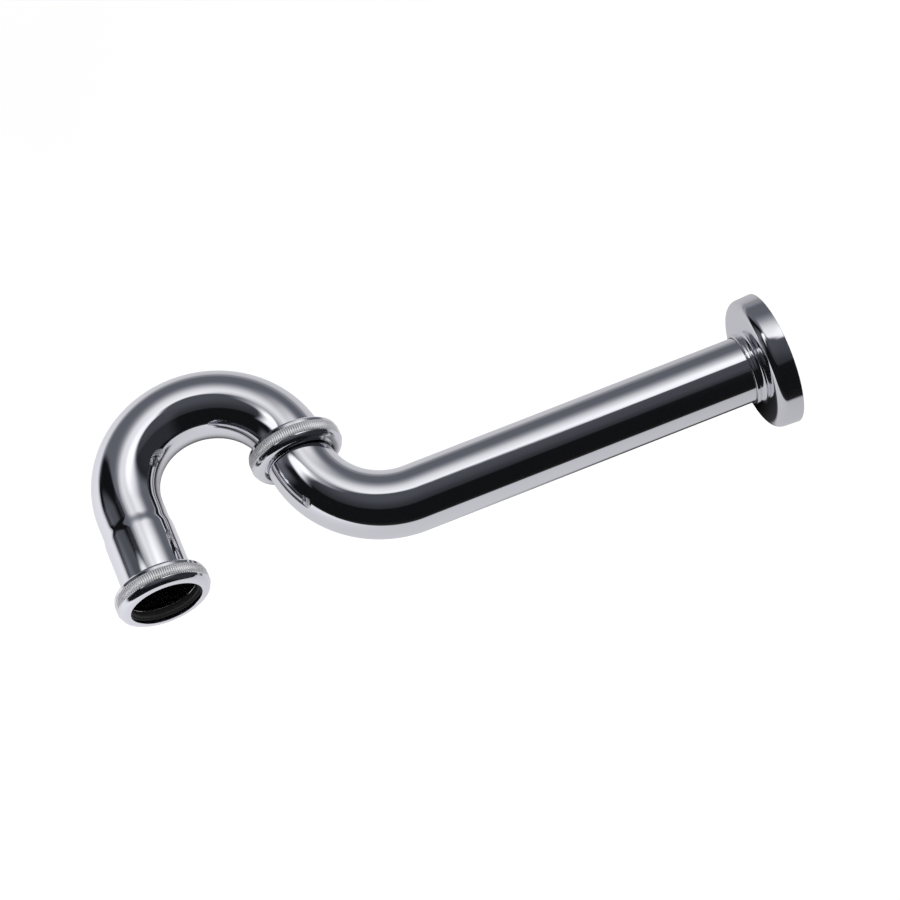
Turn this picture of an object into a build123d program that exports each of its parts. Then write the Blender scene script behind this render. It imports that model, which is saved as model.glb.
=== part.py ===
from build123d import *

import math
import os

# Chromed brass P-trap for a wash basin, in the position it is fitted.
# +Z runs up the inlet, +X runs along the outlet pipe to the wall, and the origin is the centre of the
# socket's mouth, where the basin's tailpiece enters. All sizes are in millimetres.

# Tube
tube_od = 32.0
tube_wall = 1.2

# Trap bend: a U between two legs
leg_spacing = 82.0           # inlet axis to joint axis
inlet_leg = 42.8             # socket mouth down to the start of the U
tailpiece_od = 32.0          # basin tailpiece that slips into the socket
socket_clearance = 0.15      # radial, round the tailpiece
socket_wall = 0.8            # drawn thinner than the tube
socket_depth = 30.6
swage_length = 3.4           # cone from the socket down to the plain tube
swage_round = 3.0

# Threaded rings at both ends of the bend, and the nuts on them
thread_od = 38.6             # over the crests
thread_length = 4.2
thread_lead = 0.5            # chamfer where the thread starts
thread_clearance = 0.25      # radial, ring to nut
nut_wall = 2.7               # thread to the bottom of the knurl
nut_height = 10.8
nut_opening = 34.4           # hole in the lip
nut_lip = 1.8                # thickness of the lip
nut_lip_edge = 0.4           # rounding round the hole
shoulder_round = 3.1         # mouth side, lip to knurl
knurl_gap = 2.5              # plain band behind the knurl
knurl_step = 0.35            # shoulders lie this much under the knurl's root
knurl_depth = 0.2
knurl_ribs = 128
back_bevel = 1.1
seat_gap = 0.1               # slack left between stacked pieces that turn

# Rings packed inside the nuts
ring_clearance = 0.4         # radial, ring to the inside of its nut
inlet_packing_thickness = 3.2
inlet_packing_bevel = 0.8    # lead for the tailpiece
inlet_washer_thickness = 1.0
joint_packing_thickness = 2.0

# Outlet pipe
collar_thickness = 1.7
collar_clearance = 0.4       # radial, collar to the inside of its nut
collar_edge = 0.4
outlet_stub = 0.5            # straight tube between the collar's face and the elbow
elbow_radius = 42.2
pipe_run = 183.0             # elbow to wall
pipe_inset = 0.8             # the pipe stops short of the wall by this much

# Wall flange, spun from sheet
flange_od = 64.4
flange_depth = 12.0
flange_draft = 0.6           # radius lost from rim to face
flange_sheet = 0.8
flange_face_round = 5.0
neck_clearance = 0.15        # radial, neck to pipe
neck_length = 4.5
neck_root_round = 2.4
bead_height = 0.5            # rolled bead at the neck's end
bead_width = 2.0

# Places that follow from the sizes above
tube_r = tube_od / 2
bore_r = tube_r - tube_wall
socket_bore_r = tailpiece_od / 2 + socket_clearance
socket_r = socket_bore_r + socket_wall
bend_radius = leg_spacing / 2
bend_level = -inlet_leg                     # both ends of the U
thread_r = thread_od / 2
nut_bore_r = thread_r + thread_clearance
knurl_root_r = nut_bore_r + nut_wall
knurl_r = knurl_root_r + knurl_depth
shoulder_r = knurl_root_r - knurl_step
ring_r = nut_bore_r - ring_clearance
inlet_nut_top = inlet_packing_thickness + inlet_washer_thickness + seat_gap + nut_lip
collar_face = bend_level + joint_packing_thickness + seat_gap
collar_r = nut_bore_r - collar_clearance
joint_nut_top = collar_face + collar_thickness + seat_gap + nut_lip
pipe_level = collar_face + outlet_stub + elbow_radius
wall_x = leg_spacing + elbow_radius + pipe_run


def turned(*corners):
    """A solid of revolution about Z from corners of (radius, height, rounding)."""
    outline = FilletPolyline(*[(r, z) for r, z, _ in corners], radius=[f for _, _, f in corners], close=True)
    return revolve(Plane.XZ * make_face(outline), Axis.Z)


def ring(outer, inner, low, high):
    """A plain flat ring about Z."""
    return turned((inner, low, 0), (outer, low, 0), (outer, high, 0), (inner, high, 0))


def rod(radius, start, direction, length):
    """A straight cylinder from a point along a direction."""
    return extrude(Plane(origin=start, z_dir=direction) * Circle(radius), length)


def bend(radius, start, direction, centre, angle):
    """A round bar bent from a point about an axis along Y through a centre."""
    section = Plane(origin=start, z_dir=direction) * Circle(radius)
    return revolve(section, Axis(centre, (0, 1, 0)), angle)


def make_trap_bend():
    """U of tube with a swaged socket and a threaded ring at each end."""
    swage_low = -socket_depth - swage_length
    leg = turned(
        (0, bend_level, 0),
        (tube_r, bend_level, 0),
        (tube_r, swage_low, swage_round),
        (socket_r, -socket_depth, swage_round),
        (socket_r, 0, 0),
        (0, 0, 0),
    )
    leg_bore = turned(
        (0, bend_level, 0),
        (bore_r, bend_level, 0),
        (bore_r, swage_low, 0),
        (socket_bore_r, -socket_depth, 0),
        (socket_bore_r, 0, 0),
        (0, 0, 0),
    )
    thread = turned(
        (0, -thread_length, 0),
        (thread_r, -thread_length, 0),
        (thread_r, -thread_lead, 0),
        (thread_r - thread_lead, 0, 0),
        (0, 0, 0),
    )
    start = (0, 0, bend_level)
    centre = (bend_radius, 0, bend_level)
    outside = leg + thread + bend(tube_r, start, (0, 0, -1), centre, -180)
    outside += Pos(leg_spacing, 0, bend_level) * thread
    return outside - leg_bore - bend(bore_r, start, (0, 0, -1), centre, -180)


def make_nut(top):
    """Slip nut with a lipped mouth at the given height and a straight knurl round its middle."""
    bottom = top - nut_height
    opening_r = nut_opening / 2
    mouth_round = min(shoulder_round, shoulder_r - opening_r - 2 * nut_lip_edge)
    knurl_top = top - mouth_round
    knurl_bottom = bottom + knurl_gap
    body = turned(
        (nut_bore_r, bottom, 0),
        (shoulder_r - back_bevel, bottom, 0),
        (shoulder_r, bottom + back_bevel, 0),
        (shoulder_r, top, mouth_round),
        (opening_r, top, nut_lip_edge),
        (opening_r, top - nut_lip, 0),
        (nut_bore_r, top - nut_lip, 0),
    )
    half_rib = math.pi / knurl_ribs
    points = []
    for rib in range(knurl_ribs):
        for radius, turn in ((knurl_r, 2 * rib), (knurl_root_r, 2 * rib + 1)):
            points.append((radius * math.cos(turn * half_rib), radius * math.sin(turn * half_rib)))
    band = make_face(Polyline(*points, close=True)) - Circle((nut_bore_r + shoulder_r) / 2)
    return body + extrude(Plane.XY.offset(knurl_bottom) * band, knurl_top - knurl_bottom)


def make_inlet_packing():
    """Rubber ring on the socket's end, bevelled where the tailpiece enters."""
    return turned(
        (socket_bore_r, 0, 0),
        (ring_r, 0, 0),
        (ring_r, inlet_packing_thickness, 0),
        (socket_bore_r + inlet_packing_bevel, inlet_packing_thickness, 0),
        (socket_bore_r, inlet_packing_thickness - inlet_packing_bevel, 0),
    )


def make_inlet_washer():
    """Thin friction washer between the packing and the nut's lip."""
    inner = socket_bore_r + inlet_packing_bevel
    return ring(ring_r, inner, inlet_packing_thickness, inlet_packing_thickness + inlet_washer_thickness)


def make_joint_packing():
    """Flat rubber ring on the end of the short leg."""
    flat = ring(thread_r - thread_lead, bore_r, bend_level, bend_level + joint_packing_thickness)
    return Pos(leg_spacing, 0, 0) * flat


def make_outlet_pipe():
    """Tube from the union through the elbow to the wall, with a collar under the nut's lip."""
    elbow_start = (0, 0, outlet_stub)
    elbow_centre = (elbow_radius, 0, outlet_stub)
    pipe_start = (elbow_radius, 0, outlet_stub + elbow_radius)

    def bar(radius):
        stub = rod(radius, (0, 0, 0), (0, 0, 1), outlet_stub)
        elbow = bend(radius, elbow_start, (0, 0, 1), elbow_centre, 90)
        return stub + elbow + rod(radius, pipe_start, (1, 0, 0), pipe_run - pipe_inset)

    collar = turned(
        (0, 0, 0),
        (collar_r, 0, 0),
        (collar_r, collar_thickness, collar_edge),
        (0, collar_thickness, 0),
    )
    return Pos(leg_spacing, 0, collar_face) * (bar(tube_r) + collar - bar(bore_r))


def make_wall_flange():
    """Sheet cup with a beaded neck, its rim on the wall and its axis along the pipe."""
    neck_bore_r = tube_r + neck_clearance
    neck_r = neck_bore_r + flange_sheet
    rim_r = flange_od / 2
    face_r = rim_r - flange_draft
    inner_depth = flange_depth - flange_sheet
    neck_end = flange_depth + neck_length
    cup = turned(
        (rim_r - flange_sheet, 0, 0),
        (rim_r, 0, 0),
        (face_r, flange_depth, flange_face_round),
        (neck_r, flange_depth, neck_root_round),
        (neck_r, neck_end, 0),
        (neck_bore_r, neck_end, 0),
        (neck_bore_r, inner_depth, neck_root_round + flange_sheet),
        (face_r - flange_sheet, inner_depth, flange_face_round - flange_sheet),
    )
    bead = turned(
        (neck_bore_r, neck_end - bead_width, 0),
        (neck_r + bead_height, neck_end - bead_width, bead_height),
        (neck_r + bead_height, neck_end, bead_height),
        (neck_bore_r, neck_end, 0),
    )
    return Plane(origin=(wall_x, 0, pipe_level), z_dir=(-1, 0, 0)) * (cup + bead)


nodes = {
    "trap_bend": make_trap_bend(),
    "inlet_nut": make_nut(inlet_nut_top),
    "inlet_washer": make_inlet_washer(),
    "inlet_packing": make_inlet_packing(),
    "joint_nut": Pos(leg_spacing, 0, 0) * make_nut(joint_nut_top),
    "joint_packing": make_joint_packing(),
    "outlet_pipe": make_outlet_pipe(),
    "wall_flange": make_wall_flange(),
}

os.makedirs("parts", exist_ok=True)
for name, solid in nodes.items():
    export_step(solid, f"parts/{name}.step")
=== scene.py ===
import math

import bpy
import bmesh
from mathutils import Matrix, Vector


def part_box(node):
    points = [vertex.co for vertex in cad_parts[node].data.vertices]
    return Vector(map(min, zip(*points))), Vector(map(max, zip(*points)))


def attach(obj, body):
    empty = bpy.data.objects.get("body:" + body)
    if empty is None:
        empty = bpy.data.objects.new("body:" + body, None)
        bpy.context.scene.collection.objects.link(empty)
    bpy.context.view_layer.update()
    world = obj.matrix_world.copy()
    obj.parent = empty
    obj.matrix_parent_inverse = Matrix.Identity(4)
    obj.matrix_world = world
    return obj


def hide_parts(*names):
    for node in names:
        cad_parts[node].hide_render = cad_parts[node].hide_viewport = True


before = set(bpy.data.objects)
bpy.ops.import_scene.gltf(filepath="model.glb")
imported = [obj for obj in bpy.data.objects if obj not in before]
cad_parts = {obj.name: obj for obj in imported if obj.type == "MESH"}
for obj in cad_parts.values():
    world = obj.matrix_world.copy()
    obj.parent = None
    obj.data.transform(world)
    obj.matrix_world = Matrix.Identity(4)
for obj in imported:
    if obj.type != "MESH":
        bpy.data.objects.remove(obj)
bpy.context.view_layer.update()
scene = bpy.context.scene
mm = 0.001
print("frame loaded with", len(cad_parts), "nodes")


# turning a profile and following a bent tube, in millimetres

def softened(corners, steps):  # rounds each (radius, height, rounding) corner of a closed profile
    points = []
    count = len(corners)
    for i, (r, z, rounding) in enumerate(corners):
        here = Vector((r, z))
        if rounding <= 0:
            points.append(here)
            continue
        back = Vector(corners[i - 1][:2]) - here
        ahead = Vector(corners[(i + 1) % count][:2]) - here
        half = back.angle(ahead) / 2
        reach = rounding / math.tan(half)
        start = here + back.normalized() * reach
        end = here + ahead.normalized() * reach
        centre = here + (back.normalized() + ahead.normalized()).normalized() * rounding / math.sin(half)
        a = start - centre
        b = end - centre
        turn = a.angle(b)
        whole = math.sin(turn)
        for k in range(steps + 1):
            t = k / steps
            points.append(centre + a * (math.sin((1 - t) * turn) / whole) + b * (math.sin(t * turn) / whole))
    return points


def turnedRings(points, around, place, ribs=None):  # ribs(point index, angle) adds to the radius
    rings = []
    for i, p in enumerate(points):
        ring = []
        for k in range(around):
            t = 2 * math.pi * k / around
            r = p.x + (ribs(i, t) if ribs else 0)
            ring.append(place @ Vector((r * math.cos(t), r * math.sin(t), p.y)))
        rings.append(ring)
    return rings


def bentRing(centre, along, radius, around):  # circle round a tube that bends in the XZ plane
    side = Vector((0, 1, 0))
    up = along.cross(side)
    ring = []
    for k in range(around):
        t = 2 * math.pi * k / around
        ring.append(centre + (side * math.cos(t) + up * math.sin(t)) * radius)
    return ring


# closed skin over a loop of rings, sharp where it turns by more than the crease angle
# second gives each ring's share of the second finish, as one number or one for each point
def skin(name, rings, crease, second=()):
    count = len(rings[0])
    verts = [p * mm for ring in rings for p in ring]
    faces = []
    for i in range(len(rings)):
        a = i * count
        b = (i + 1) % len(rings) * count
        for k in range(count):
            n = (k + 1) % count
            faces.append((a + k, a + n, b + n, b + k))
    mesh = bpy.data.meshes.new(name)
    mesh.from_pydata(verts, [], faces)
    work = bmesh.new()
    work.from_mesh(mesh)
    bmesh.ops.recalc_face_normals(work, faces=work.faces)
    work.to_mesh(mesh)
    work.free()
    mesh.shade_smooth()
    mesh.set_sharp_from_angle(angle=math.radians(crease))
    if second:
        shares = []
        for s in second:
            shares += s if isinstance(s, list) else [float(s)] * count
        mesh.attributes.new("second", "FLOAT", "POINT").data.foreach_set("value", shares)
    obj = bpy.data.objects.new(name, mesh)
    scene.collection.objects.link(obj)
    return obj


def dress(obj, body, slotName, finish, *nodes):  # material, body, a slot name that is not used, and the nodes it stands for
    obj.data.materials.append(finish)
    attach(obj, body)
    if nodes:
        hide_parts(*nodes)


# shader nodes

noiseBand = (0.3, 0.7)  # where most of a noise value lies
mixPlaces = {"FLOAT": (2, 3, 0), "RGBA": (6, 7, 2)}  # both inputs and the output of a Mix node


def addNode(tree, kind, **values):
    node = tree.nodes.new(kind)
    for key, value in values.items():
        if key in node.inputs.keys():
            node.inputs[key].default_value = value
        else:
            setattr(node, key, value)
    return node


def plug(tree, socket, value):  # a link, or a fixed value
    if isinstance(value, bpy.types.NodeSocket):
        tree.links.new(value, socket)
    else:
        socket.default_value = value


def calc(tree, operation, *values):
    node = addNode(tree, "ShaderNodeMath", operation=operation)
    for socket, value in zip(node.inputs, values):
        plug(tree, socket, value)
    return node.outputs[0]


def blend(tree, kind, share, a, b):  # two numbers or two colours
    node = addNode(tree, "ShaderNodeMix", data_type=kind)
    first, second, result = mixPlaces[kind]
    plug(tree, node.inputs[0], share)
    plug(tree, node.inputs[first], a)
    plug(tree, node.inputs[second], b)
    return node.outputs[result]


def mixShaders(tree, share, a, b):
    node = addNode(tree, "ShaderNodeMixShader")
    for socket, link in zip(node.inputs, (share, a, b)):
        tree.links.new(link, socket)
    return node.outputs[0]


def carry(tree, value, source, target, curve="LINEAR"):  # from one range onto another
    node = addNode(tree, "ShaderNodeMapRange", interpolation_type=curve)
    for key, number in zip(("From Min", "From Max", "To Min", "To Max"), (*source, *target)):
        node.inputs[key].default_value = number
    tree.links.new(value, node.inputs["Value"])
    return node.outputs["Result"]


def ease(tree, value, low, high, start=0.0, end=1.0):  # smooth step between two values, either way round
    if low > high:
        low, high, start, end = high, low, end, start
    return carry(tree, value, (low, high), (start, end), "SMOOTHSTEP")


def window(tree, value, lowFrom, lowTo, highFrom, highTo):  # soft-edged gate
    rise = ease(tree, value, lowFrom, lowTo)
    fall = ease(tree, value, highTo, highFrom)
    return calc(tree, "MULTIPLY", rise, fall)


def noiseAt(tree, coords, scale, detail):
    node = addNode(tree, "ShaderNodeTexNoise", Scale=scale, Detail=detail)
    tree.links.new(coords, node.inputs["Vector"])
    return node.outputs["Fac"]


def roughen(tree, shader, height, strength, depth):
    bump = addNode(tree, "ShaderNodeBump", Strength=strength, Distance=depth)
    tree.links.new(height, bump.inputs["Height"])
    tree.links.new(bump.outputs["Normal"], shader.inputs["Normal"])


def newFinish(name):
    mat = bpy.data.materials.new(name)
    mat.use_nodes = True
    tree = mat.node_tree
    return mat, tree, tree.nodes["Principled BSDF"]


# chrome in three qualities, each with a second finish

tubeLook = {
    "plate": (0.80, 0.805, 0.84), "plateWarm": (0.83, 0.83, 0.855), "hazeScale": 45.0, "hazeDetail": 3.0,
    "smudgeScale": 260.0, "smudgeDetail": 5.0, "rough": (0.03, 0.07),
    "rippleScale": 70.0, "rippleDetail": 2.0, "rippleStrength": 0.06, "rippleDepth": 0.0004,
    "secondTone": (0.11, 0.105, 0.098), "secondMetal": 1.0, "secondRough": (0.22, 0.36),  # unplated bore, made very dark as painted shade inside the tube
}
nutLook = dict(
    tubeLook, rough=(0.06, 0.13), smudgeScale=500.0, rippleScale=300.0, rippleDepth=0.0001,
    secondTone=(0.92, 0.92, 0.94), secondMetal=0.40, secondRough=(0.22, 0.32),  # satin knurl
)
flangeLook = dict(
    tubeLook, rough=(0.04, 0.09), rippleScale=55.0,
    secondTone=(0.58, 0.56, 0.53), secondMetal=0.72, secondRough=(0.32, 0.5),  # dull back of the sheet
)


def chromeFinish(name, look):
    mat, tree, shader = newFinish(name)
    coords = addNode(tree, "ShaderNodeTexCoord").outputs["Object"]
    second = addNode(tree, "ShaderNodeAttribute", attribute_name="second").outputs["Fac"]
    haze = noiseAt(tree, coords, look["hazeScale"], look["hazeDetail"])
    plate = blend(tree, "RGBA", haze, (*look["plate"], 1), (*look["plateWarm"], 1))
    colour = blend(tree, "RGBA", second, plate, (*look["secondTone"], 1))
    tree.links.new(colour, shader.inputs["Base Color"])
    smudge = noiseAt(tree, coords, look["smudgeScale"], look["smudgeDetail"])
    polished = carry(tree, smudge, noiseBand, look["rough"])
    dull = carry(tree, smudge, noiseBand, look["secondRough"])
    tree.links.new(blend(tree, "FLOAT", second, polished, dull), shader.inputs["Roughness"])
    shader.inputs["Metallic"].default_value = 1.0
    if look["secondMetal"] < 1:
        tree.links.new(blend(tree, "FLOAT", second, 1.0, look["secondMetal"]), shader.inputs["Metallic"])
    ripple = noiseAt(tree, coords, look["rippleScale"], look["rippleDetail"])
    roughen(tree, shader, ripple, look["rippleStrength"], look["rippleDepth"])
    return mat


tubeChrome = chromeFinish("tubeChrome", tubeLook)
nutChrome = chromeFinish("nutChrome", nutLook)
flangeChrome = chromeFinish("flangeChrome", flangeLook)
print("chrome finishes made")


# black rubber and the black friction washer

rubberLook = {
    "base": (0.014, 0.014, 0.015), "dusty": (0.03, 0.03, 0.031), "grainsPerSpeck": 9, "dustDetail": 3.0,
    "grainScale": 1400.0, "grainDetail": 6.0, "grainStrength": 0.25, "grainDepth": 0.0001,
    "rough": (0.55, 0.75),
}
washerLook = dict(
    rubberLook, base=(0.02, 0.02, 0.021), dusty=(0.04, 0.04, 0.042), grainScale=700.0, rough=(0.4, 0.6),
)


def blackFinish(name, look):
    mat, tree, shader = newFinish(name)
    coords = addNode(tree, "ShaderNodeTexCoord").outputs["Object"]
    grain = noiseAt(tree, coords, look["grainScale"], look["grainDetail"])
    dust = noiseAt(tree, coords, look["grainScale"] / look["grainsPerSpeck"], look["dustDetail"])
    colour = blend(tree, "RGBA", dust, (*look["base"], 1), (*look["dusty"], 1))
    tree.links.new(colour, shader.inputs["Base Color"])
    tree.links.new(carry(tree, grain, noiseBand, look["rough"]), shader.inputs["Roughness"])
    roughen(tree, shader, grain, look["grainStrength"], look["grainDepth"])
    return mat


rubberBlack = blackFinish("rubberBlack", rubberLook)
washerBlack = blackFinish("washerBlack", washerLook)
print("black finishes made")


# trap bend: socket, swage and the U, outside and bore in one skin

trapBend = {
    "tube": 15.99, "bore": 14.8, "socket": 16.6, "socketBore": 16.15, "socketDepth": 30.6, "swage": 3.6,
    "swageRound": 16.0, "swageBoreRound": 1.0, "edge": 0.12, "mouthEdge": 0.3, "spacing": 82.0, "leg": 42.8,
    "around": 160, "arcSteps": 132, "roundSteps": 8, "crease": 34,
}


def buildTrapBend(p):
    legEnd = -p["leg"]
    swageLow = -p["socketDepth"] - p["swage"]
    profile = softened([
        (p["socket"], 0, p["edge"]),
        (p["socket"], -p["socketDepth"], p["swageRound"]),
        (p["tube"], swageLow, p["swageRound"]),
        (p["tube"], legEnd, 0),
        (p["bore"], legEnd, 0),
        (p["bore"], swageLow, p["swageBoreRound"]),
        (p["socketBore"], -p["socketDepth"], p["swageBoreRound"]),
        (p["socketBore"], 0, p["mouthEdge"]),
    ], p["roundSteps"])
    lowest = min(range(len(profile)), key=lambda i: profile[i].y)  # the outside of the leg ends here
    outerLeg, boreLeg = profile[:lowest + 1], profile[lowest + 1:]
    radius = p["spacing"] / 2
    down = Vector((0, 0, -1))

    def legRing(q):
        return bentRing(Vector((0, 0, q.y)), down, q.x, p["around"])

    def arcRing(step, size):
        a = math.pi + math.pi * step / p["arcSteps"]
        centre = Vector((radius + radius * math.cos(a), 0, legEnd + radius * math.sin(a)))
        along = Vector((-math.sin(a), 0, math.cos(a)))
        return bentRing(centre, along, size, p["around"])

    rings = [legRing(q) for q in outerLeg]
    rings += [arcRing(s, p["tube"]) for s in range(1, p["arcSteps"] + 1)]
    outside = len(rings)
    rings += [arcRing(s, p["bore"]) for s in range(p["arcSteps"], 0, -1)]
    rings += [legRing(q) for q in boreLeg]
    rim = len(rings) - p["roundSteps"] - 1  # the mouth's edge is plated again
    return skin("trapBend", rings, p["crease"], [outside <= i < rim for i in range(len(rings))])


dress(buildTrapBend(trapBend), "bend", "chrome", tubeChrome, "trap_bend")
print("trap bend built")


# threaded rings brazed on at both ends of the bend, inside the nuts

threadRing = {
    "crest": 19.3, "depth": 0.45, "pitch": 1.4, "length": 4.2, "lead": 0.5, "leadShare": 0.2, "runOut": 0.7,
    "inletInner": 16.4, "jointInner": 15.5, "around": 192, "perPitch": 10, "crease": 60,
}


def buildThreadRing(name, p, inner, x, top):
    rows = int(p["length"] / p["pitch"] * p["perPitch"])
    thread = [Vector((p["crest"], -p["length"] * (1 - i / rows))) for i in range(rows + 1)]
    points = [Vector((inner, -p["length"])), *thread, Vector((inner, 0))]

    def groove(i, t):
        if i == 0 or i == len(points) - 1:
            return 0
        h = points[i].y
        turn = (h / p["pitch"] - t / (2 * math.pi)) % 1
        fade = min(1, (h + p["length"]) / p["runOut"]) * min(1, -h / p["lead"] + p["leadShare"])
        lead = max(0, p["lead"] + h)
        return -p["depth"] * abs(2 * turn - 1) * fade - lead

    place = Matrix.Translation((x, 0, top))
    return skin(name, turnedRings(points, p["around"], place, groove), p["crease"])


inletThread = buildThreadRing("inletThreadRing", threadRing, threadRing["inletInner"], 0, 0)
jointThread = buildThreadRing(
    "jointThreadRing", threadRing, threadRing["jointInner"], trapBend["spacing"], -trapBend["leg"])
dress(inletThread, "bend", "chrome", tubeChrome)
dress(jointThread, "bend", "chrome", tubeChrome)
print("threaded rings built")


# slip nuts: lipped mouth, rounded shoulder, straight knurl, bevelled back

slipNut = {
    "bore": 19.55, "shoulder": 21.9, "opening": 17.2, "height": 10.8, "lip": 1.8, "lipEdge": 0.4,
    "shoulderRound": 3.1, "backBevel": 1.1, "bevelRound": 0.35, "boreEdge": 0.3, "roundSteps": 6,
    "knurlGap": 2.5, "knurlRoot": 22.25, "knurlCrest": 22.45, "knurlRun": 0.45, "runStart": 0.12,
    "startShare": 0.55, "ribs": 128, "perRib": 12, "ribFlat": 1.8, "satinLow": 0.25, "crease": 50,
}


def buildNut(name, node, p):
    low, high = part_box(node)
    centre = (low + high) / 2 / mm
    top = p["height"]
    back = [
        (p["bore"], 0, p["boreEdge"]),
        (p["shoulder"] - p["backBevel"], 0, p["bevelRound"]),
        (p["shoulder"], p["backBevel"], p["bevelRound"]),
    ]
    mouth = [
        (p["shoulder"], top, p["shoulderRound"]),
        (p["opening"], top, p["lipEdge"]),
        (p["opening"], top - p["lip"], 0),
        (p["bore"], top - p["lip"], 0),
    ]
    knurlLow = p["knurlGap"]
    knurlHigh = top - p["shoulderRound"]
    knurl = [  # heights, and how far the ribs have risen there
        (knurlLow, 0.0),
        (knurlLow + p["runStart"], p["startShare"]),
        (knurlLow + p["knurlRun"], 1.0),
        ((knurlLow + knurlHigh) / 2, 1.0),
        (knurlHigh - p["knurlRun"], 1.0),
        (knurlHigh - p["runStart"], p["startShare"]),
        (knurlHigh, 0.0),
    ]
    profile = softened(back + mouth, p["roundSteps"])
    split = len(back) * (p["roundSteps"] + 1)
    rest = profile[split + 1:]  # the knurl ends on the first point of the shoulder's rounding
    points = profile[:split] + [Vector((p["shoulder"], h)) for h, _ in knurl] + rest
    shares = [0.0] * split + [share for _, share in knurl] + [0.0] * len(rest)
    root = p["knurlRoot"] - p["shoulder"]
    crest = p["knurlCrest"] - p["shoulder"]
    around = p["ribs"] * p["perRib"]

    def crown(t):  # groove at both ends, crest between
        return 1 - abs((t * p["ribs"] / math.pi) % 2 - 1) ** p["ribFlat"]

    def rib(i, t):
        return shares[i] * (root + (crest - root) * crown(t)) if shares[i] else 0

    place = Matrix.Translation((centre.x, centre.y, low.z / mm))
    satin = [p["satinLow"] + (1 - p["satinLow"]) * crown(2 * math.pi * k / around) for k in range(around)]
    second = [[share * s for s in satin] for share in shares]
    return skin(name, turnedRings(points, around, place, rib), p["crease"], second)


dress(buildNut("inletNut", "inlet_nut", slipNut), "inlet_nut", "nut_chrome", nutChrome, "inlet_nut")
dress(buildNut("jointNut", "joint_nut", slipNut), "joint_nut", "nut_chrome", nutChrome, "joint_nut")
print("slip nuts built")


# packings and washer, black rings inside the nuts

sealRings = {
    "outer": 19.15, "bore": 16.15, "bevel": 0.8, "packing": 3.2, "washer": 1.0,
    "flatOuter": 18.8, "flatBore": 14.8, "flatPacking": 2.0,
    "seatEdge": 0.1, "edge": 0.2, "outerEdge": 0.3, "around": 144, "roundSteps": 3, "crease": 40,
}


def buildSeal(name, p, corners, x, z):
    rings = turnedRings(softened(corners, p["roundSteps"]), p["around"], Matrix.Translation((x, 0, z)))
    return skin(name, rings, p["crease"])


def buildInletPacking(p):
    corners = [
        (p["bore"], 0, p["seatEdge"]),
        (p["outer"], 0, p["outerEdge"]),
        (p["outer"], p["packing"], p["outerEdge"]),
        (p["bore"] + p["bevel"], p["packing"], p["edge"]),
        (p["bore"], p["packing"] - p["bevel"], p["edge"]),
    ]
    return buildSeal("inletPacking", p, corners, 0, 0)


def buildInletWasher(p):
    inner = p["bore"] + p["bevel"]
    corners = [
        (inner, 0, p["seatEdge"]),
        (p["outer"], 0, p["seatEdge"]),
        (p["outer"], p["washer"], p["edge"]),
        (inner, p["washer"], p["edge"]),
    ]
    return buildSeal("inletWasher", p, corners, 0, p["packing"])


def buildJointPacking(p):
    corners = [
        (p["flatBore"], 0, p["edge"]),
        (p["flatOuter"], 0, p["edge"]),
        (p["flatOuter"], p["flatPacking"], p["edge"]),
        (p["flatBore"], p["flatPacking"], p["edge"]),
    ]
    return buildSeal("jointPacking", p, corners, trapBend["spacing"], -trapBend["leg"])


dress(buildInletPacking(sealRings), "bend", "rubber", rubberBlack, "inlet_packing")
dress(buildInletWasher(sealRings), "bend", "washer", washerBlack, "inlet_washer")
dress(buildJointPacking(sealRings), "bend", "rubber", rubberBlack, "joint_packing")
print("seals built")


# outlet pipe: collar, elbow and the run to the wall

outletPipe = {
    "tube": 16.0, "bore": 14.8, "x": trapBend["spacing"], "face": -40.7, "stub": 0.5, "elbow": 42.2,
    "collar": 19.15, "collarThickness": 1.7, "collarEdge": 0.4, "end": 306.4, "endEdge": 0.3,
    "around": 160, "collarSteps": 6, "elbowSteps": 72, "runSteps": 24, "crease": 34,
}


def buildOutletPipe(p):
    start = p["face"] + p["stub"]
    level = start + p["elbow"]
    runFrom = p["x"] + p["elbow"]
    bendCentre = Vector((runFrom, 0, start))
    up = Vector((0, 0, 1))
    toWall = Vector((1, 0, 0))
    quarter = math.pi / 2
    edge = p["collarEdge"]
    collarTop = p["face"] + p["collarThickness"]
    collar = [(p["collar"], p["face"])]
    for k in range(p["collarSteps"] + 1):
        a = quarter * k / p["collarSteps"]
        collar.append((p["collar"] - edge + edge * math.cos(a), collarTop - edge + edge * math.sin(a)))

    def collarRing(size, height):
        return bentRing(Vector((p["x"], 0, height)), up, size, p["around"])

    def elbowRing(angle, size):
        centre = bendCentre + Vector((-math.cos(angle), 0, math.sin(angle))) * p["elbow"]
        along = Vector((math.sin(angle), 0, math.cos(angle)))
        return bentRing(centre, along, size, p["around"])

    def runRing(x, size):
        return bentRing(Vector((x, 0, level)), toWall, size, p["around"])

    first = math.asin((collarTop - start) / p["elbow"])  # the tube leaves the collar here
    outer = [first + (quarter - first) * s / p["elbowSteps"] for s in range(p["elbowSteps"] + 1)]
    inner = [quarter * s / p["elbowSteps"] for s in range(p["elbowSteps"] + 1)]
    runLength = p["end"] - p["endEdge"] - runFrom
    run = [runFrom + runLength * s / p["runSteps"] for s in range(1, p["runSteps"] + 1)]
    rings = [collarRing(r, h) for r, h in collar]
    rings += [elbowRing(a, p["tube"]) for a in outer]
    rings += [runRing(x, p["tube"]) for x in run]
    rings += [runRing(p["end"], p["tube"] - p["endEdge"]), runRing(p["end"], p["bore"] + p["endEdge"])]
    outside = len(rings)
    rings += [runRing(x, p["bore"]) for x in reversed(run)]
    rings += [elbowRing(a, p["bore"]) for a in reversed(inner)]
    rings += [collarRing(p["bore"], p["face"])]
    return skin("outletPipe", rings, p["crease"], [i >= outside for i in range(len(rings))])


dress(buildOutletPipe(outletPipe), "outlet", "chrome", tubeChrome, "outlet_pipe")
print("outlet pipe built")


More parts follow.
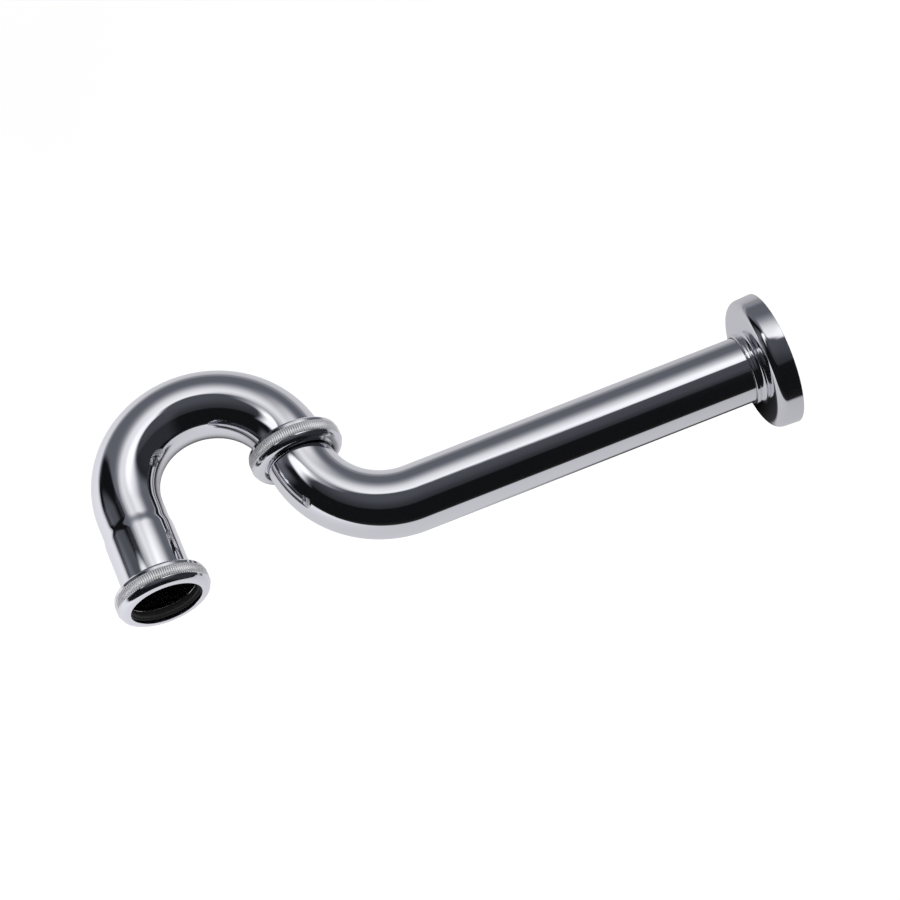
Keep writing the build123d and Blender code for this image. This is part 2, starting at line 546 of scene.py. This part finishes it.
# wall flange, a spun cup with a beaded neck

wallFlange = {
    "rim": 32.2, "face": 31.6, "depth": 12.0, "sheet": 0.8, "faceRound": 5.0, "rimEdge": 0.25,
    "neckBore": 16.15, "neck": 16.95, "neckEnd": 16.5, "rootRound": 2.3,
    "beadHeight": 0.5, "beadWidth": 2.0, "beadFootRound": 0.35, "beadGroove": 0.12,
    "wallX": 307.2, "level": 2.0, "around": 224, "roundSteps": 12, "crease": 40,
}


def buildWallFlange(p):
    inside = p["depth"] - p["sheet"]
    beadTop = p["neck"] + p["beadHeight"]
    beadFoot = p["neckEnd"] - p["beadWidth"]
    plated = [
        (p["rim"], 0, p["rimEdge"]),
        (p["face"], p["depth"], p["faceRound"]),
        (p["neck"], p["depth"], p["rootRound"]),
        (p["neck"], beadFoot, p["beadGroove"]),
        (beadTop, beadFoot, p["beadFootRound"]),
        (beadTop, p["neckEnd"], p["beadHeight"]),
    ]
    plain = [
        (p["neckBore"], p["neckEnd"], p["beadGroove"]),
        (p["neckBore"], inside, p["rootRound"] + p["sheet"]),
        (p["face"] - p["sheet"], inside, p["faceRound"] - p["sheet"]),
        (p["rim"] - p["sheet"], 0, p["rimEdge"]),
    ]
    profile = softened(plated + plain, p["roundSteps"])
    outside = len(plated) * (p["roundSteps"] + 1)
    place = Matrix.Translation((p["wallX"], 0, p["level"])) @ Matrix.Rotation(-math.pi / 2, 4, "Y")
    unplated = [i >= outside for i in range(len(profile))]
    return skin("wallFlange", turnedRings(profile, p["around"], place), p["crease"], unplated)


dress(buildWallFlange(wallFlange), "flange", "flange_chrome", flangeChrome, "wall_flange")
print("wall flange built")


# the room that the chrome mirrors, light by direction in degrees
# a patch has four edges across, from the back wall, four edges up, over the table, and its level

room = {
    "dimmest": 0.008, "brightTop": (81, 76), "tableEdge": (-1, -9), "tableTone": 0.66,
    "dim": [
        ((60, 100, 140, 165), (-2, 5, 60, 75), 0.025),       # front right
        ((-200, -190, 190, 200), (48, 53, 95, 100), 0.028),  # ceiling from its edge
        ((-200, -190, 190, 200), (50, 86, 95, 100), 0.056),  # ceiling overhead
    ],
    "bright": [  # these end at brightTop
        ((-36, -31, 70, 85), (-6, 2, 60, 75), 0.14),         # back wall
        ((-50, -40, 45, 70), (-16, -6, -2, 11), 0.16),       # foot of the back wall
        ((-28, 8, 70, 86), (30, 85, 86, 87), 1.05),          # main soft box
        ((24, 50, 62, 84), (22, 48, 58, 80), 0.52),          # its bright side
        ((-70, -55, -20, 0), (58, 66, 70, 80), 0.32),        # bridge between the boxes
        ((-74, -66, -58, -48), (8, 16, 44, 52), 0.09),       # wall under the left box
        ((-90, -78, -70, -58), (0, 5, 15, 35), 0.12),        # spill on its foot
    ],
    "leaningBox": ((-86, -68, -56, -49), (42, 50, 62, 72), 1.12),  # left soft box, leaning to the back
    "leanFrom": 52, "leanRate": 1.2,
    "tablePale": ((-75, -50, 0, 40), (-80, -45, 5, 10), 0.12),
    "tableShade": ((20, 55, 95, 125), (-50, -30, -10, 4), 0.42),
}


def mirroredRoom(tree, p):
    coords = addNode(tree, "ShaderNodeTexCoord").outputs["Generated"]
    split = addNode(tree, "ShaderNodeSeparateXYZ")
    tree.links.new(coords, split.inputs[0])
    back = calc(tree, "MULTIPLY", split.outputs["Z"], -1.0)
    across = calc(tree, "MULTIPLY", calc(tree, "ARCTAN2", split.outputs["X"], back), math.degrees(1))
    above = calc(tree, "MULTIPLY", calc(tree, "ARCSINE", split.outputs["Y"]), math.degrees(1))
    tilt = calc(tree, "MULTIPLY", calc(tree, "SUBTRACT", above, p["leanFrom"]), p["leanRate"])
    leaning = calc(tree, "SUBTRACT", across, tilt)

    def patch(edgesAcross, edgesUp, level, along=across):
        both = calc(tree, "MULTIPLY", window(tree, along, *edgesAcross), window(tree, above, *edgesUp))
        return calc(tree, "MULTIPLY", both, level)

    brightTop = ease(tree, above, *p["brightTop"])
    bright = [patch(*one) for one in p["bright"]] + [patch(*p["leaningBox"], leaning)]
    lights = [patch(*one) for one in p["dim"]] + [calc(tree, "MULTIPLY", one, brightTop) for one in bright]
    total = lights[0]
    for light in lights[1:]:
        total = calc(tree, "ADD", total, light)
    pale = calc(tree, "ADD", patch(*p["tablePale"]), p["tableTone"])
    table = calc(tree, "SUBTRACT", pale, patch(*p["tableShade"]))
    mixed = blend(tree, "FLOAT", ease(tree, above, *p["tableEdge"]), total, table)
    return calc(tree, "ADD", mixed, p["dimmest"])


# white floor that keeps the shadow, and soft light; metres from here on

studio = {
    "white": (1, 1, 1, 1), "ambient": 0.35, "coolShade": (0.88, 0.92, 1.08), "boxWhite": (1.0, 1.0, 1.03),
    "coolToWhite": (0.05, 0.6), "sunStrength": 1.5, "sunAngle": 40, "sunTilt": (-28, 12),
    "floorLevel": -0.42, "floorHalf": 5.0, "floorAlbedo": 0.85, "floorGlow": 0.40,
}


def buildWorld(p):
    world = bpy.data.worlds.new("studioWorld")
    scene.world = world
    world.use_nodes = True
    tree = world.node_tree
    tree.nodes.clear()
    rays = addNode(tree, "ShaderNodeLightPath")
    light = mirroredRoom(tree, room)
    share = ease(tree, light, *p["coolToWhite"])
    plain = addNode(tree, "ShaderNodeBackground", Color=p["white"], Strength=p["ambient"])
    white = addNode(tree, "ShaderNodeBackground", Color=p["white"], Strength=1.0)
    mirror = addNode(tree, "ShaderNodeBackground")
    cast = blend(tree, "RGBA", share, (*p["coolShade"], 1), (*p["boxWhite"], 1))
    tree.links.new(cast, mirror.inputs["Color"])
    tree.links.new(light, mirror.inputs["Strength"])
    lit = mixShaders(tree, rays.outputs["Is Glossy Ray"], plain.outputs[0], mirror.outputs[0])
    clear = calc(tree, "MAXIMUM", rays.outputs["Is Camera Ray"], rays.outputs["Is Transmission Ray"])
    out = addNode(tree, "ShaderNodeOutputWorld")
    tree.links.new(mixShaders(tree, clear, lit, white.outputs[0]), out.inputs["Surface"])


def flatSheet(name, finishName, corners):  # one face of the stage, with an empty material
    mesh = bpy.data.meshes.new(name)
    mesh.from_pydata(corners, [], [(0, 1, 2, 3)])
    obj = bpy.data.objects.new(name, mesh)
    scene.collection.objects.link(obj)
    mat = bpy.data.materials.new(finishName)
    mat.use_nodes = True
    mat.node_tree.nodes.clear()
    mesh.materials.append(mat)
    return obj, mat


def buildFloor(p):
    half = p["floorHalf"]
    corners = [(-half, -half), (half, -half), (half, half), (-half, half)]
    floor, mat = flatSheet("studioFloor", "paleFloor", [(x, y, p["floorLevel"]) for x, y in corners])
    tree = mat.node_tree
    rays = addNode(tree, "ShaderNodeLightPath")
    paper = addNode(tree, "ShaderNodeBsdfDiffuse", Color=(p["floorAlbedo"],) * 3 + (1,))
    glow = addNode(tree, "ShaderNodeEmission", Color=p["white"])
    strength = calc(tree, "MULTIPLY", rays.outputs["Is Camera Ray"], p["floorGlow"])
    tree.links.new(strength, glow.inputs["Strength"])
    both = addNode(tree, "ShaderNodeAddShader")
    tree.links.new(paper.outputs[0], both.inputs[0])
    tree.links.new(glow.outputs[0], both.inputs[1])
    out = addNode(tree, "ShaderNodeOutputMaterial")
    tree.links.new(both.outputs[0], out.inputs["Surface"])
    floor.visible_glossy = False  # the chrome mirrors the room instead


def buildLamp(p):
    lamp = bpy.data.lights.new("softKey", "SUN")
    lamp.energy = p["sunStrength"]
    lamp.angle = math.radians(p["sunAngle"])
    obj = bpy.data.objects.new("softKey", lamp)
    tiltX, tiltY = p["sunTilt"]
    obj.rotation_euler = (math.radians(tiltX), math.radians(tiltY), 0)
    obj.visible_glossy = False
    scene.collection.objects.link(obj)


buildWorld(studio)
buildFloor(studio)
buildLamp(studio)
scene.view_settings.view_transform = "Standard"
print("studio built")


# glowing card, seen only in the chrome: a painted reflection of a pale table under the lying part, with
# painted shade where the part is near

tableCard = {
    "half": 8.0, "nearX": -0.022, "nearY": -0.0226, "farX": 0.3072, "farY": -0.0325,
    "tint": (0.985, 0.98, 1.03), "paintedLitLeft": 0.92, "paintedLitRight": 0.66, "leftEnd": -0.12, "rightEnd": 0.10,
    "farTone": 0.45, "farFrom": 0.10, "farTo": 0.70, "frontFrom": 0.15, "frontTo": 0.21, "frontTone": 0.03,
    "shadeReach": 0.04, "shadeSamples": 64, "shadeLow": 0.3, "shadeHigh": 0.6, "shadeTone": 0.05,
    "stripLevel": 0.002, "stripFrom": 0.0165, "stripTo": 0.025, "stripTone": 0.10,
    "stripStart": 0.12, "stripFull": 0.24,
}


def buildTableCard(p):
    slope = (p["farY"] - p["nearY"]) / (p["farX"] - p["nearX"])
    half = p["half"]
    corners = [(-half, -half), (-half, half), (half, half), (half, -half)]
    places = [(x, p["nearY"] + slope * (x - p["nearX"]), z) for x, z in corners]
    card, mat = flatSheet("tableCard", "tableCard", places)
    tree = mat.node_tree
    split = addNode(tree, "ShaderNodeSeparateXYZ")
    coords = addNode(tree, "ShaderNodeTexCoord").outputs["Object"]
    tree.links.new(coords, split.inputs[0])
    # painted light in the card's glow: brighter on the left, dimmer on the right, dimmer further from the
    # part, dark towards the front
    tone = ease(tree, split.outputs["X"], p["leftEnd"], p["rightEnd"], p["paintedLitLeft"], p["paintedLitRight"])
    reach = addNode(tree, "ShaderNodeVectorMath", operation="LENGTH")
    tree.links.new(coords, reach.inputs[0])
    far = ease(tree, reach.outputs["Value"], p["farFrom"], p["farTo"], 1.0, p["farTone"])
    front = ease(tree, split.outputs["Z"], p["frontFrom"], p["frontTo"], 1.0, p["frontTone"])
    aside = calc(tree, "ABSOLUTE", calc(tree, "SUBTRACT", split.outputs["Z"], p["stripLevel"]))
    strip = ease(tree, aside, p["stripFrom"], p["stripTo"], p["stripTone"], 1.0)  # shade under the pipe
    under = blend(tree, "FLOAT", ease(tree, split.outputs["X"], p["stripStart"], p["stripFull"]), 1.0, strip)
    # painted shadow: the glow is darkened by occlusion where the part is near
    nearby = addNode(tree, "ShaderNodeAmbientOcclusion", Distance=p["shadeReach"], samples=p["shadeSamples"])
    shade = ease(tree, nearby.outputs["AO"], p["shadeLow"], p["shadeHigh"], p["shadeTone"], 1.0)
    for factor in (far, front, under, shade):
        tone = calc(tree, "MULTIPLY", tone, factor)
    glow = addNode(tree, "ShaderNodeEmission", Color=(*p["tint"], 1))
    tree.links.new(tone, glow.inputs["Strength"])
    behind = addNode(tree, "ShaderNodeNewGeometry").outputs["Backfacing"]
    clear = addNode(tree, "ShaderNodeBsdfTransparent")  # from below, for a pipe that swings under the card
    out = addNode(tree, "ShaderNodeOutputMaterial")
    tree.links.new(mixShaders(tree, behind, glow.outputs[0], clear.outputs[0]), out.inputs["Surface"])
    mat.cycles.emission_sampling = "NONE"
    card.visible_camera = False
    card.visible_diffuse = False
    card.visible_transmission = False
    card.visible_shadow = False


buildTableCard(tableCard)
print("table card built")


# camera fitted to the outline of the part, rolled because the photo shows the trap lying on its side

view = {
    "place": (-0.04259, 1.17226, 0.53679), "aim": (0.14830, 0.0, -0.01443), "roll": 154.8083,
    "lens": 112.38, "sensor": 36.0,
}


def buildCamera(p):
    data = bpy.data.cameras.new("photoCamera")
    data.lens = p["lens"]
    data.sensor_width = p["sensor"]
    data.dof.use_dof = False
    obj = bpy.data.objects.new("photoCamera", data)
    back = Vector(p["place"]) - Vector(p["aim"])
    turn = back.to_track_quat("Z", "Y").to_matrix().to_4x4()
    roll = Matrix.Rotation(math.radians(p["roll"]), 4, "Z")
    obj.matrix_world = Matrix.Translation(p["place"]) @ turn @ roll
    scene.collection.objects.link(obj)
    scene.camera = obj


buildCamera(view)
print("camera set")
